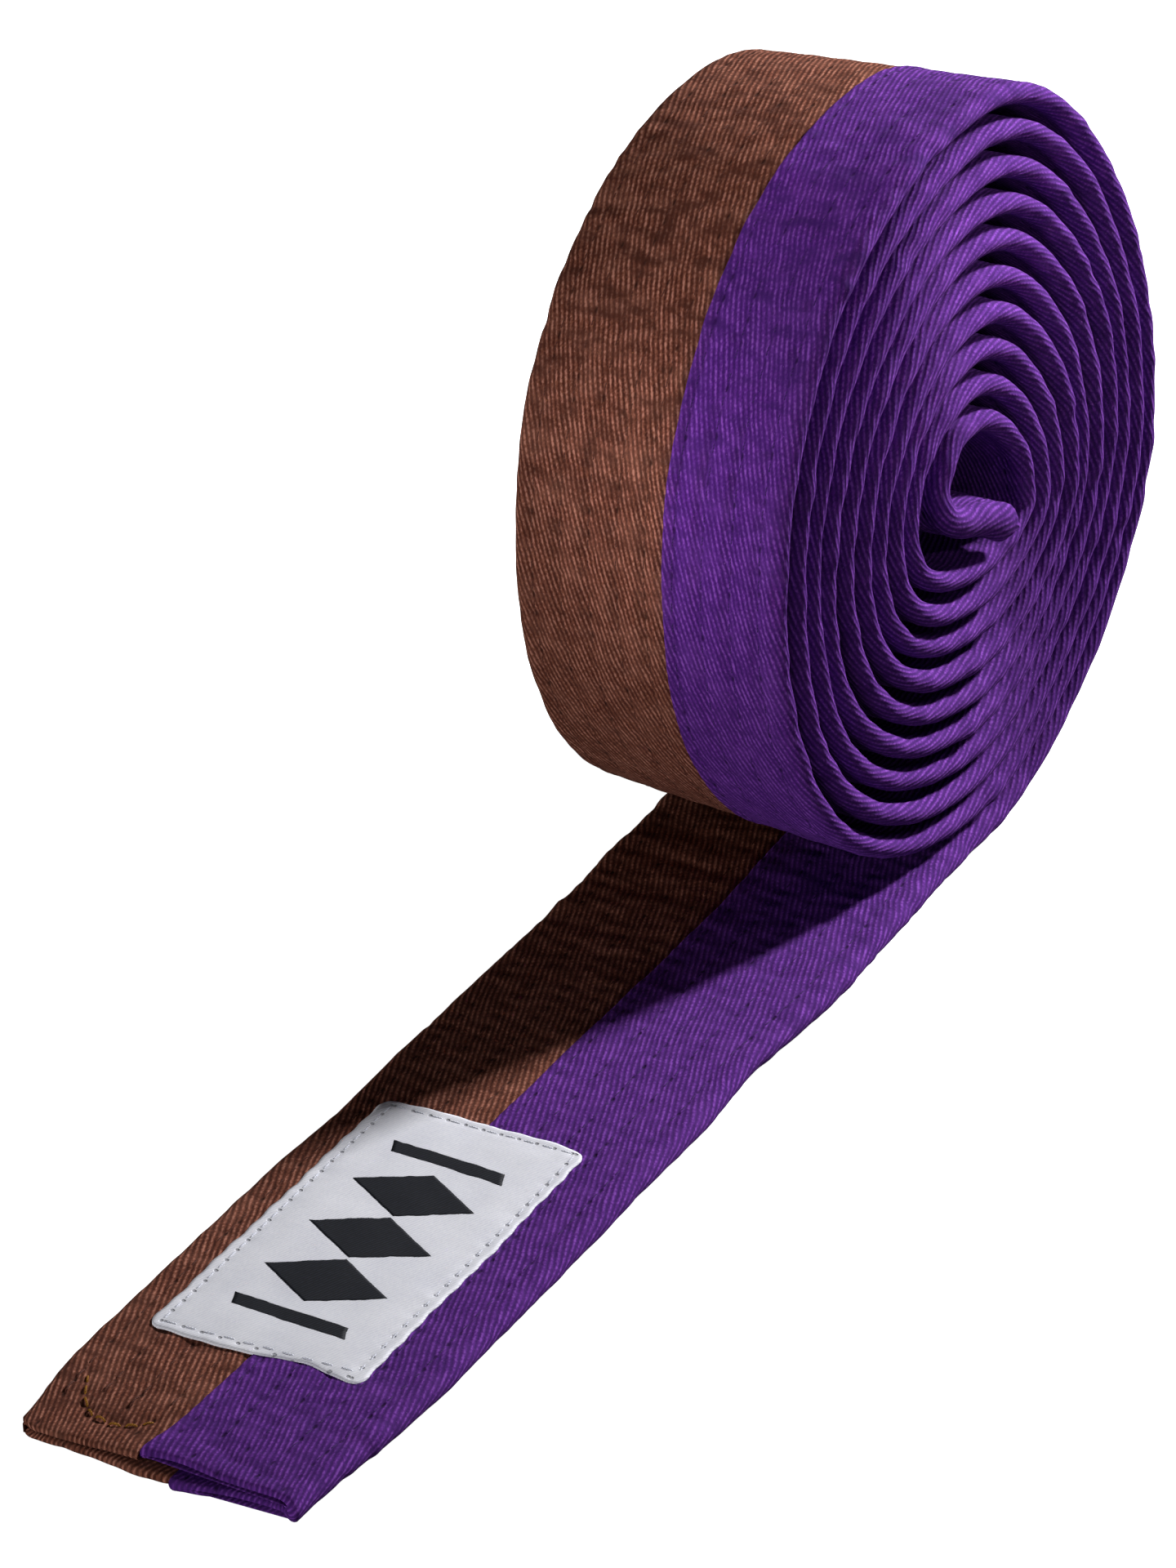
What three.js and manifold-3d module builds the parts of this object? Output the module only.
// A two-colour martial arts belt, rolled up and standing on its edge, with its free end lying in front.
//
// Units are millimetres, +Z is up, and the free end points along -Y. The strap is a core of two
// interlining strips inside two folded twill covers, one brown and one purple, quilted lengthwise.
// Every piece of the strap is made straight, with x across the strap and h through its thickness,
// and is then laid along the route that the rolled belt takes.
import * as THREE from "three";
import Module from "manifold-3d";
import { mergeVertices } from "three/addons/utils/BufferGeometryUtils.js";

// The strap's section.
const WIDTH = 40;
const THICKNESS = 2.9;
const CLOTH = 0.45; // one layer of twill
const LAYER_GAP = 0.08; // left between layers that touch
const EDGE_ROUND = 0.8; // how far the folded edge rounds in from the full thickness
const EDGE_FOLD = 1.0; // cloth and seam allowance gathered at the folded edge
const SEAM_OUTER = 2.6; // where the covers meet on the face that ends up outside the coil
const SEAM_INNER = -1.5; // and on the face that ends up inside it, which is the tail's top
const HALF = THICKNESS / 2;

// The coil. A turn is an oval of four quarters, from the ground up the back, over the top, down the
// front and under again. Each quarter's reach shrinks by its pitch for every turn further in.
const BACK = { reach: 41.3, pitch: 3.16, level: 44.6, drift: -0.25, fullness: -0.04 };
const FRONT = { reach: 45.5, pitch: 3.53, level: 49.2, drift: -0.1, fullness: 0.02 };
const TOP = { reach: 100.2, pitch: 4.53, apexDrift: -0.2 };
const BOTTOM = { pitch: 4.14, apexDrift: 0.3 };
const COIL_TURNS = 9.5; // full oval turns, before the inner end
const FINE_TURNS = 2; // outer turns that get the finer steps
const FINE_STEPS = 24;
const COARSE_STEPS = 12;
const CONE = 0.05; // the purple edge's turns are larger, by this share from edge to edge
const COIL_YAW = THREE.MathUtils.degToRad(6); // the coil stands turned against the tail
const YAW_REACH = 22; // the strap takes up that turn this far to either side of the coil's foot

// The inner end curls into the coil's eye: points (y, z) of its middle line after the last oval turn.
const INNER_END = [
  [-6.6, 55.3],
  [-8.7, 51.6],
  [-8.1, 48.5],
  [-4.9, 45.9],
  [0.5, 44.2],
  [4.0, 42.4],
  [5.7, 41.4],
];
const INNER_END_STEPS = 10;
const INNER_END_SLIP = 1.6; // it has slid out of the coil sideways
const INNER_END_BULK = 1.2; // its folded hem is thicker than the strap

// The tail, measured from the coil's foot to the tip. It folds upward at three places.
const TAIL_LENGTH = 168;
const FOLDS = [54, 84, 150];
const FOLD_ROOM = 3.6; // between the centres of the two rounded ends that meet at a fold
const HEM_LENGTH = 8;
const HEM_FOLD = 0.7; // the tip's folded edge

// Sewing.
const ROW_PITCH = 4.2;
const ROWS_BROWN = [-4, -3, -2, -1, 0]; // rows on the outer face, in row pitches from the middle
const ROWS_PURPLE = [1, 2, 3, 4];
const TOP_ROWS_BROWN = [-4, -3, -2, -1];
const TOP_ROWS_PURPLE = [0, 1, 2, 3, 4];
const TREAD_FROM = 2 / FINE_STEPS; // the rows on the coil's outside show from here, in turns
const TREAD_TO = 23 / FINE_STEPS; // to here, where the next turn covers them
const THREAD_WIDTH = 0.4;
const THREAD_HEIGHT = 0.15;
const THREAD_GAP = 0.05;
const CROSS_STITCH_AT = 73.5; // a row across the brown half of the tail
const TIP_STITCH_AT = 162.5;
const SEWN_INSET = 3; // lines of stitching across the strap stop this far from its edges
const SEAM_INSET = 1; // and this far from the seam between the two covers
const ROWS_SHORT = 1; // the rows along the strap stop this far before a line across it

// The label sewn on the tail's top.
const LABEL = { width: 27, from: 91.3, to: 145.6, middle: -0.4, thickness: 0.3, corner: 1.5 };
const LABEL_LIFT = 0.25; // the rows of quilting run under it
const LABEL_STITCH_INSET = 1.3;
const LABEL_STITCH_CORNER = 1;

const CLOTH_LOOK = { roughness: 0.9, metalness: 0 };
const brownTwill = new THREE.MeshStandardMaterial({ color: 0x5e382c, ...CLOTH_LOOK });
const purpleTwill = new THREE.MeshStandardMaterial({ color: 0x4b2670, ...CLOTH_LOOK });
const interlining = new THREE.MeshStandardMaterial({ color: 0xd9d2c2, ...CLOTH_LOOK });
const brownThread = new THREE.MeshStandardMaterial({ color: 0x3e241c, ...CLOTH_LOOK });
const purpleThread = new THREE.MeshStandardMaterial({ color: 0x2c1648, ...CLOTH_LOOK });
const goldThread = new THREE.MeshStandardMaterial({ color: 0x8a5a1c, ...CLOTH_LOOK });
const labelSatin = new THREE.MeshStandardMaterial({ color: 0xdcdde6, roughness: 0.6, metalness: 0 });
const labelThread = new THREE.MeshStandardMaterial({ color: 0xb9bcc9, ...CLOTH_LOOK });

// --- The route ---

// A station is one place along the route: the strap's middle line there (y, z above the flat strap),
// the direction from the coil out, how much the cone acts, the turn about the vertical, and
// what happens to the end of a piece that stops there (rounds: 1 faces the tip, -1 the coil).

function yawAt(distance) {
  return -COIL_YAW * THREE.MathUtils.smoothstep(YAW_REACH - distance, 0, 2 * YAW_REACH);
}

function tailStation(reach, rounds = 0) {
  return { y: -reach, z: 0, out: [0, -1], coned: 0, yaw: yawAt(reach), slip: 0, bulk: 1, rounds };
}

function ovalPoint(turns) {
  const angle = 2 * Math.PI * turns;
  const side = Math.sin(angle) > 0 ? BACK : FRONT;
  const level = side.level + side.drift * turns;
  const low = Math.cos(angle) > 0;
  const apex = (low ? BOTTOM : TOP).apexDrift * turns;
  const end = low ? BOTTOM.pitch * turns : TOP.reach - TOP.pitch * turns;
  const sideways = (side === BACK ? 1 : -1) * (side.reach - side.pitch * turns);
  const full = 1 + side.fullness * Math.sin(2 * angle) ** 2;
  return [
    apex + (sideways - apex) * Math.abs(Math.sin(angle)) * full,
    level + (end - level) * Math.abs(Math.cos(angle)) * full,
  ];
}

function coilStation(turns) {
  const angle = 2 * Math.PI * turns;
  const [y, z] = ovalPoint(turns);
  const walked = 2 * Math.PI * BACK.reach * turns;
  const out = [Math.sin(angle), -Math.cos(angle)];
  return { y, z, out, coned: 1, yaw: yawAt(-walked), slip: 0, bulk: 1, rounds: 0 };
}

function innerEndStations() {
  const lastQuarter = [0.25, 0.125, 0].map((back) => ovalPoint(COIL_TURNS - back));
  const points = [...lastQuarter, ...INNER_END].map(([y, z]) => new THREE.Vector2(y, z));
  const curve = new THREE.SplineCurve(points);
  const from = (lastQuarter.length - 1) / (points.length - 1);
  return Array.from({ length: INNER_END_STEPS }, (_, i) => {
    const share = (i + 1) / INNER_END_STEPS;
    const at = from + (1 - from) * share;
    const { x: y, y: z } = curve.getPoint(at);
    const along = curve.getTangent(at);
    const bulk = 1 + (INNER_END_BULK - 1) * Math.min(1, 2 * share);
    const slip = INNER_END_SLIP * share;
    return { y, z, out: [along.y, -along.x], coned: 1, yaw: -COIL_YAW, slip, bulk, rounds: 0 };
  });
}

// Stations every whole step between two places in the coil, in turns.
function coilStations(from, to) {
  const fineTo = Math.min(to, FINE_TURNS);
  const spots = [];
  for (let i = Math.ceil(from * FINE_STEPS); i <= fineTo * FINE_STEPS; i++) spots.push(i / FINE_STEPS);
  const first = FINE_TURNS * COARSE_STEPS + 1;
  for (let i = first; i <= to * COARSE_STEPS; i++) spots.push(i / COARSE_STEPS);
  return spots.map(coilStation);
}

// Stations along the tail where the strap turns about the vertical, from one reach to a shorter one.
function footStations(from, to) {
  const bends = [YAW_REACH, YAW_REACH * 0.66, YAW_REACH * 0.33];
  const spots = [from, ...bends.filter((reach) => reach < from && reach > to), to];
  return spots.map((reach) => tailStation(reach));
}

// A point of the straight strap, x across and h from the middle toward the coil's outside, in place.
function place(station, x, h) {
  const rounding = HALF - Math.sqrt(Math.max(0, HALF ** 2 - h ** 2));
  const spread = 1 + (station.coned * CONE * x) / WIDTH;
  const height = h * station.bulk;
  const y = station.y * spread + station.out[0] * height + station.rounds * rounding;
  const z = HALF + station.z * spread + station.out[1] * height;
  const point = new THREE.Vector3(x + station.slip, y, z);
  return point.applyAxisAngle(new THREE.Vector3(0, 0, 1), station.yaw);
}

// --- Making pieces ---

// A flat outline [x, h] carried along stations, which run from the tip's side toward the coil's inside.
function strapPiece(outline, stations) {
  const shape = new THREE.Shape(outline.map(([x, h]) => new THREE.Vector2(x, h)));
  const steps = stations.length - 1;
  const geometry = new THREE.ExtrudeGeometry(shape, { depth: steps, steps, bevelEnabled: false });
  const spots = geometry.getAttribute("position");
  for (let i = 0; i < spots.count; i++) {
    const station = stations[Math.round(spots.getZ(i))];
    const point = place(station, spots.getX(i), spots.getY(i));
    spots.setXYZ(i, point.x, point.y, point.z);
  }
  geometry.deleteAttribute("normal");
  geometry.deleteAttribute("uv");
  return geometry;
}

const wasm = await Module();
wasm.setup();

function toSolid(geometry) {
  const merged = mergeVertices(geometry, 1e-4);
  const vertProperties = merged.getAttribute("position").array;
  const triVerts = new Uint32Array(merged.index.array);
  return new wasm.Manifold(new wasm.Mesh({ numProp: 3, vertProperties, triVerts }));
}

function joined(geometries) {
  const solids = geometries.map(toSolid);
  const mesh = solids.reduce((sum, solid) => sum.add(solid)).getMesh();
  const geometry = new THREE.BufferGeometry();
  geometry.setAttribute("position", new THREE.BufferAttribute(mesh.vertProperties, 3));
  geometry.setIndex(new THREE.BufferAttribute(mesh.triVerts, 1));
  return geometry;
}

function block(x0, x1, h0, h1) {
  return [
    [x0, h0],
    [x1, h0],
    [x1, h1],
    [x0, h1],
  ];
}

// A folded cover, open toward the seam: side is -1 for the brown half and 1 for the purple.
function coverOutline(side) {
  const edge = (side * WIDTH) / 2;
  const shoulder = edge - side * EDGE_ROUND;
  const fold = edge - side * EDGE_FOLD;
  const outerEnd = SEAM_OUTER + (side * LAYER_GAP) / 2;
  const innerEnd = SEAM_INNER + (side * LAYER_GAP) / 2;
  const lining = HALF - CLOTH;
  return [
    [outerEnd, HALF],
    [shoulder, HALF],
    [edge, 0],
    [shoulder, -HALF],
    [innerEnd, -HALF],
    [innerEnd, -lining],
    [fold, -lining],
    [fold, lining],
    [outerEnd, lining],
  ];
}

// One of the two core strips: face is 1 for the one nearer the coil's outside, -1 for the other.
function coreOutline(face) {
  const edge = WIDTH / 2 - EDGE_FOLD - LAYER_GAP;
  const near = (face * LAYER_GAP) / 2;
  const far = face * (HALF - CLOTH - LAYER_GAP);
  return block(-edge, edge, Math.min(near, far), Math.max(near, far));
}

// Rows of thread on one face, joined end to end into one run, as one needle sews them. The bridges
// between rows are a little thinner than the rows, so that no two faces of the run coincide.
function threadRun(rows, face, stations, bridgeEnds) {
  const near = HALF + THREAD_GAP;
  const band = (x0, x1, slim) => {
    const heights = [face * (near + slim), face * (near + THREAD_HEIGHT - slim)];
    return block(x0, x1, Math.min(...heights), Math.max(...heights));
  };
  const pieces = rows.map((row) => {
    const line = row * ROW_PITCH;
    return strapPiece(band(line - THREAD_WIDTH / 2, line + THREAD_WIDTH / 2, 0), stations);
  });
  rows.slice(1).forEach((row, i) => {
    const bridge = band((row - 1) * ROW_PITCH, row * ROW_PITCH, THREAD_HEIGHT / 5);
    pieces.push(strapPiece(bridge, bridgeEnds[i % 2]));
  });
  return joined(pieces);
}

function tailThreadRun(rows, from, to) {
  const [near, far] = [THREAD_WIDTH / 4, THREAD_WIDTH];
  const bridgeEnds = [
    [tailStation(from - near), tailStation(from - far)],
    [tailStation(to + far), tailStation(to + near)],
  ];
  return threadRun(rows, -1, footStations(from, to), bridgeEnds);
}

const belt = new THREE.Group();

function add(name, geometry, material) {
  const mesh = new THREE.Mesh(geometry, material);
  mesh.name = name;
  belt.add(mesh);
  return mesh;
}

function addStrap(prefix, stations) {
  add(prefix + "_cover_brown", strapPiece(coverOutline(-1), stations), brownTwill);
  add(prefix + "_cover_purple", strapPiece(coverOutline(1), stations), purpleTwill);
  add(prefix + "_core_outer", strapPiece(coreOutline(1), stations), interlining);
  add(prefix + "_core_inner", strapPiece(coreOutline(-1), stations), interlining);
}

function addTopQuilting(prefix, from, to) {
  add(prefix + "_quilting_brown", tailThreadRun(TOP_ROWS_BROWN, from, to), brownThread);
  add(prefix + "_quilting_purple", tailThreadRun(TOP_ROWS_PURPLE, from, to), purpleThread);
}

// The ends of a piece at a fold: facing the tip, and facing the coil.
const coilSide = (fold) => tailStation(fold - FOLD_ROOM / 2, 1);
const tipSide = (fold) => tailStation(fold + FOLD_ROOM / 2, -1);
const THREAD_CLEAR = FOLD_ROOM / 2 + HALF + THREAD_WIDTH; // threads stop this far from a fold

// A line of thread sewn across the tail's top, at a distance from the coil's foot.
const TOP_THREAD_LOW = -(HALF + THREAD_GAP + THREAD_HEIGHT);
function crossLine(from, to, distance) {
  const line = block(from, to, TOP_THREAD_LOW, TOP_THREAD_LOW + THREAD_HEIGHT);
  return strapPiece(line, [tailStation(distance + THREAD_WIDTH), tailStation(distance)]);
}

// --- The coil, with the tail's foot under it ---

const TREAD_BRIDGE = [0.0004, 0.002]; // where the tread's rows are joined, in turns from their ends

function buildCoil() {
  const bend = [coilSide(FOLDS[0]), ...footStations(YAW_REACH, 0)];
  const stations = [...bend, ...coilStations(1 / FINE_STEPS, COIL_TURNS), ...innerEndStations()];
  addStrap("coil", stations);
  const tread = coilStations(TREAD_FROM, TREAD_TO);
  const bridgeEnds = [
    TREAD_BRIDGE.map((turns) => coilStation(TREAD_FROM + turns)),
    TREAD_BRIDGE.toReversed().map((turns) => coilStation(TREAD_TO - turns)),
  ];
  add("tread_quilting_brown", threadRun(ROWS_BROWN, 1, tread, bridgeEnds), brownThread);
  add("tread_quilting_purple", threadRun(ROWS_PURPLE, 1, tread, bridgeEnds), purpleThread);
  addTopQuilting("foot", FOLDS[0] - THREAD_CLEAR, 2);

  // The inner end's stitching is a short way along the last span but one, in its middle.
  const [before, after] = stations.slice(-3, -1);
  const span = Math.hypot(after.y - before.y, after.z - before.z);
  const sewn = [-0.5, 0.5].map((side) => {
    const share = 0.5 + (side * THREAD_WIDTH) / span;
    const station = { ...before };
    ["y", "z", "slip", "bulk"].forEach((key) => {
      station[key] = THREE.MathUtils.lerp(before[key], after[key], share);
    });
    return station;
  });
  const endX = WIDTH / 2 - SEWN_INSET;
  const seam = block(-endX, endX, TOP_THREAD_LOW, TOP_THREAD_LOW + THREAD_HEIGHT);
  add("inner_end_stitching", strapPiece(seam, sewn), purpleThread);
}

// --- The tail's first flap, between the coil's foot and the label ---

function buildFlap() {
  addStrap("flap", [coilSide(FOLDS[1]), tipSide(FOLDS[0])]);
  const rowsTo = FOLDS[0] + THREAD_CLEAR;
  addTopQuilting("flap", CROSS_STITCH_AT - ROWS_SHORT, rowsTo);
  const [left, right] = [-WIDTH / 2 + SEWN_INSET, SEAM_INNER - SEAM_INSET];
  add("cross_stitching", crossLine(left, right, CROSS_STITCH_AT), brownThread);
}

// --- The part of the tail that carries the label ---

function roundedSlab(width, length, corner, thickness) {
  const [x, y] = [width / 2, length / 2];
  const shape = new THREE.Shape();
  shape.moveTo(-x + corner, -y);
  shape.absarc(x - corner, -y + corner, corner, -Math.PI / 2, 0);
  shape.absarc(x - corner, y - corner, corner, 0, Math.PI / 2);
  shape.absarc(-x + corner, y - corner, corner, Math.PI / 2, Math.PI);
  shape.absarc(-x + corner, -y + corner, corner, Math.PI, 1.5 * Math.PI);
  return { shape, options: { depth: thickness, bevelEnabled: false, curveSegments: 4 } };
}

function buildLabelPanel() {
  addStrap("panel", [coilSide(FOLDS[2]), tipSide(FOLDS[1])]);
  addTopQuilting("panel", FOLDS[2] - THREAD_CLEAR, FOLDS[1] + THREAD_CLEAR);

  const length = LABEL.to - LABEL.from;
  const centre = new THREE.Vector3(LABEL.middle, -(LABEL.from + LABEL.to) / 2, THICKNESS + LABEL_LIFT);
  const slab = roundedSlab(LABEL.width, length, LABEL.corner, LABEL.thickness);
  const label = add("label", new THREE.ExtrudeGeometry(slab.shape, slab.options), labelSatin);
  label.position.copy(centre);

  const inset = LABEL_STITCH_INSET;
  const outer = 2 * inset;
  const inner = 2 * (inset + THREAD_WIDTH);
  const turn = LABEL_STITCH_CORNER;
  const outside = roundedSlab(LABEL.width - outer, length - outer, turn, THREAD_HEIGHT);
  const inside = roundedSlab(LABEL.width - inner, length - inner, turn - THREAD_WIDTH, THREAD_HEIGHT);
  outside.shape.holes.push(new THREE.Path(inside.shape.getPoints(4).reverse()));
  const loop = new THREE.ExtrudeGeometry(outside.shape, outside.options);
  const stitching = add("label_stitching", loop, labelThread);
  stitching.position.copy(centre);
  stitching.position.z += LABEL.thickness + THREAD_GAP;
}

// --- The tip, with its edges folded in and sewn shut ---

// The cover's cloth turned in at the tip, under the top layer or over the bottom one.
function hemOutline(side, face) {
  const near = (face > 0 ? SEAM_OUTER : SEAM_INNER) + (side * LAYER_GAP) / 2;
  const far = side * (WIDTH / 2 - EDGE_FOLD / 2);
  const high = face * (HALF - CLOTH / 2);
  const low = face * (HALF - 2 * CLOTH + LAYER_GAP);
  return block(Math.min(near, far), Math.max(near, far), Math.min(low, high), Math.max(low, high));
}

function buildTip() {
  const from = tipSide(FOLDS[2]);
  const hemFrom = TAIL_LENGTH - HEM_LENGTH;
  [
    ["brown", -1, brownTwill],
    ["purple", 1, purpleTwill],
  ].forEach(([colour, side, cloth]) => {
    const cover = strapPiece(coverOutline(side), [tailStation(TAIL_LENGTH), from]);
    const hems = [1, -1].map((face) => {
      return strapPiece(hemOutline(side, face), [tailStation(TAIL_LENGTH), tailStation(hemFrom)]);
    });
    add("tip_cover_" + colour, joined([cover, ...hems]), cloth);
  });
  const coreEnd = tailStation(hemFrom - HEM_FOLD);
  add("tip_core_outer", strapPiece(coreOutline(1), [coreEnd, from]), interlining);
  add("tip_core_inner", strapPiece(coreOutline(-1), [coreEnd, from]), interlining);

  addTopQuilting("tip", TIP_STITCH_AT - ROWS_SHORT, FOLDS[2] + THREAD_CLEAR);
  const edge = WIDTH / 2 - SEWN_INSET;
  const brownLine = crossLine(-edge, SEAM_INNER - SEAM_INSET, TIP_STITCH_AT);
  const purpleLine = crossLine(SEAM_INNER + SEAM_INSET, edge, TIP_STITCH_AT);
  add("tip_stitching_brown", brownLine, goldThread);
  add("tip_stitching_purple", purpleLine, purpleThread);
}

buildCoil();
buildFlap();
buildLabelPanel();
buildTip();

// The origin is on the ground, in the middle of the belt's own outline seen from above.
const extent = new THREE.Box3().setFromObject(belt);
const outline = extent.getCenter(new THREE.Vector3());
belt.position.set(-outline.x, -outline.y, -extent.min.z);

export default belt;
